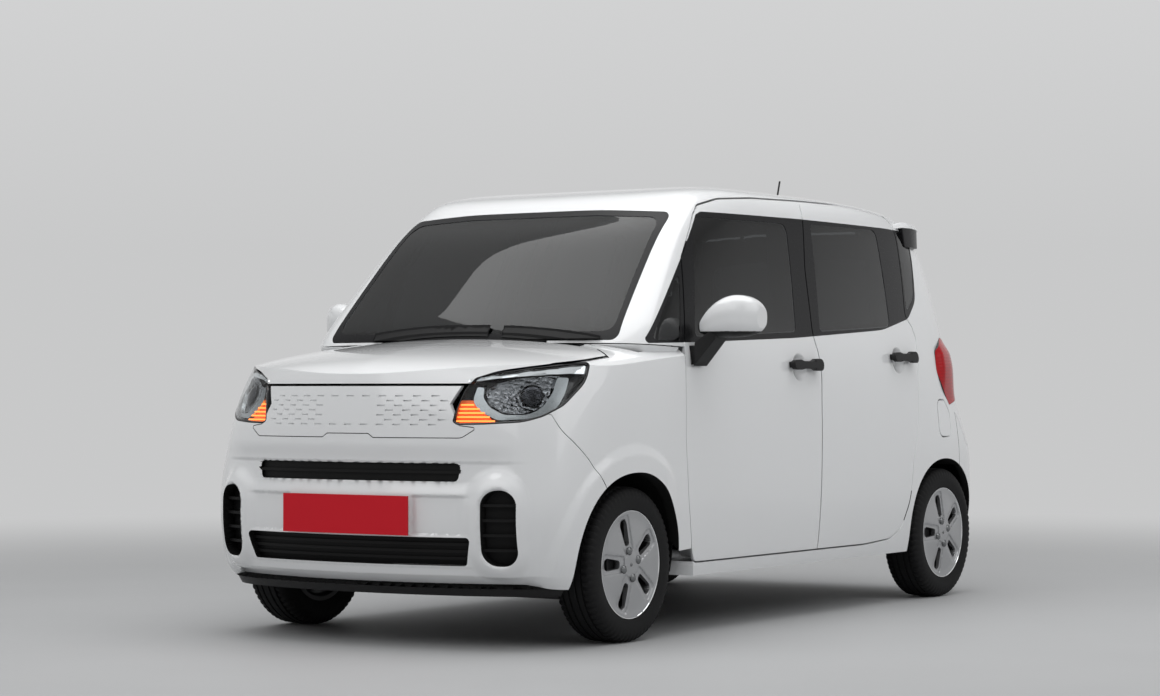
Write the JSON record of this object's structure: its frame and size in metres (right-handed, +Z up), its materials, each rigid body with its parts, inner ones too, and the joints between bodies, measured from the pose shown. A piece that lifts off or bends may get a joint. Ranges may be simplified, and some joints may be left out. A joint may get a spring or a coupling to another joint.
{
  "type": "kei car",
  "caption": "Tall, boxy five-door kei car with hinged doors, bonnet and tailgate, steered front wheels and wheels that turn.",
  "frame": {"origin": "on the ground under the middle of the car, tyres standing on z = 0", "axes": "+X forward along the car, +Y to its left, +Z up"},
  "size_m": [3.5964, 2.006, 1.8252],
  "materials": {
    "white_paint": "gloss white paint",
    "body_dark": "dark underbody coating",
    "black_plastic": "grained black plastic",
    "liner_plastic": "dull black liner",
    "tinted_glass": "dark tinted glass",
    "screen_glass": "tinted windscreen glass",
    "lamp": "clear lamp cover",
    "lamp_red": "red lamp cover",
    "steel": "bare machined steel",
    "cast": "dark cast iron",
    "silver_cover": "silver painted cover",
    "tyre": "black rubber",
    "seat_fabric": "dark woven cloth",
    "dash_plastic": "soft grained plastic",
    "engine_block": "cast aluminium",
    "exhaust_steel": "dull steel",
    "red_plate": "blank red plate",
    "plate_white": "blank white plate",
    "steering_grip": "black grip"
  },
  "bodies": {
    "root": {"underbody": "body_dark", "wheel_liners": "liner_plastic", "side_frame_left": "white_paint", "side_frame_right": "white_paint", "roof_panel": "white_paint", "front_wing_left": "white_paint", "front_wing_right": "white_paint", "front_bumper": "white_paint", "bumper_grilles": "black_plastic", "front_apron": "black_plastic", "grille_panel": "white_paint", "headlamps": "lamp", "tail_lamps": "lamp_red", "rear_bumper": "white_paint", "windscreen": "screen_glass", "cowl": "black_plastic", "quarter_glass": "tinted_glass", "front_suspension": "cast", "rear_axle": "cast", "exhaust": "exhaust_steel", "engine": "engine_block", "dashboard": "dash_plastic", "front_seats": "seat_fabric", "rear_seat": "seat_fabric", "wipers": "black_plastic", "plate_front": "red_plate", "antenna": "black_plastic"},
    "front_door_left": {"door_front_left": "white_paint", "glass_front_left": "tinted_glass", "handle_front_left": "black_plastic", "mirror_left": "white_paint"},
    "rear_door_left": {"door_rear_left": "white_paint", "glass_rear_left": "tinted_glass", "handle_rear_left": "black_plastic"},
    "knuckle_left": {"knuckle_left": "cast"},
    "wheel_front_left": {"wheel_front_left": "silver_cover", "tyre_front_left": "tyre"},
    "wheel_rear_left": {"wheel_rear_left": "silver_cover", "tyre_rear_left": "tyre"},
    "front_door_right": {"door_front_right": "white_paint", "glass_front_right": "tinted_glass", "handle_front_right": "black_plastic", "mirror_right": "white_paint"},
    "rear_door_right": {"door_rear_right": "white_paint", "glass_rear_right": "tinted_glass", "handle_rear_right": "black_plastic"},
    "knuckle_right": {"knuckle_right": "cast"},
    "wheel_front_right": {"wheel_front_right": "silver_cover", "tyre_front_right": "tyre"},
    "wheel_rear_right": {"wheel_rear_right": "silver_cover", "tyre_rear_right": "tyre"},
    "bonnet": {"bonnet": "white_paint"},
    "tailgate": {"tailgate": "white_paint", "tailgate_glass": "tinted_glass", "plate_rear": "plate_white"},
    "fuel_flap": {"fuel_flap": "white_paint"},
    "steering_wheel": {"steering_wheel": "steering_grip"}
  },
  "joints": [
    {"name": "steer_left", "type": "hinge", "parent": "root", "child": "knuckle_left", "pos_m": [1.14, 0.7, 0.277], "axis": [0, 0, 1], "range_deg": [-33, 33]},
    {"name": "steer_right", "type": "hinge", "parent": "root", "child": "knuckle_right", "pos_m": [1.14, -0.7, 0.277], "axis": [0, 0, 1], "range_deg": [-33, 33]},
    {"name": "steering_wheel_turn", "type": "hinge", "parent": "root", "child": "steering_wheel", "pos_m": [0.47, 0.335, 0.88], "axis": [-0.8829, 0, 0.4695], "range_deg": [-500, 500]},
    {"name": "spin_front_left", "type": "hinge", "parent": "knuckle_left", "child": "wheel_front_left", "pos_m": [1.14, 0.7, 0.277], "axis": [0, 1, 0], "continuous": true},
    {"name": "spin_rear_left", "type": "hinge", "parent": "root", "child": "wheel_rear_left", "pos_m": [-1.38, 0.7, 0.277], "axis": [0, 1, 0], "continuous": true},
    {"name": "open_front_door_left", "type": "hinge", "parent": "root", "child": "front_door_left", "pos_m": [0.715, 0.783, 0.6], "axis": [0, 0, -1], "range_deg": [0, 65]},
    {"name": "open_rear_door_left", "type": "hinge", "parent": "root", "child": "rear_door_left", "pos_m": [-0.3, 0.784, 0.6], "axis": [0, 0, -1], "range_deg": [0, 65]},
    {"name": "spin_front_right", "type": "hinge", "parent": "knuckle_right", "child": "wheel_front_right", "pos_m": [1.14, -0.7, 0.277], "axis": [0, 1, 0], "continuous": true},
    {"name": "spin_rear_right", "type": "hinge", "parent": "root", "child": "wheel_rear_right", "pos_m": [-1.38, -0.7, 0.277], "axis": [0, 1, 0], "continuous": true},
    {"name": "open_front_door_right", "type": "hinge", "parent": "root", "child": "front_door_right", "pos_m": [0.715, -0.783, 0.6], "axis": [0, 0, 1], "range_deg": [0, 65]},
    {"name": "open_rear_door_right", "type": "hinge", "parent": "root", "child": "rear_door_right", "pos_m": [-0.3, -0.784, 0.6], "axis": [0, 0, 1], "range_deg": [0, 65]},
    {"name": "open_bonnet", "type": "hinge", "parent": "root", "child": "bonnet", "pos_m": [1.136, 0, 1.062], "axis": [0, -1, 0], "range_deg": [0, 50]},
    {"name": "open_tailgate", "type": "hinge", "parent": "root", "child": "tailgate", "pos_m": [-1.548, 0, 1.58], "axis": [0, 1, 0], "range_deg": [0, 80]},
    {"name": "open_fuel_flap", "type": "hinge", "parent": "root", "child": "fuel_flap", "pos_m": [-1.348, 0.7705, 0.77], "axis": [0, 0.1057, -0.9944], "range_deg": [0, 85]}
  ],
  "couplings": [
    {"joint": "steer_right", "follows": "steer_left", "ratio": 1},
    {"joint": "steering_wheel_turn", "follows": "steer_left", "ratio": 15}
  ]
}
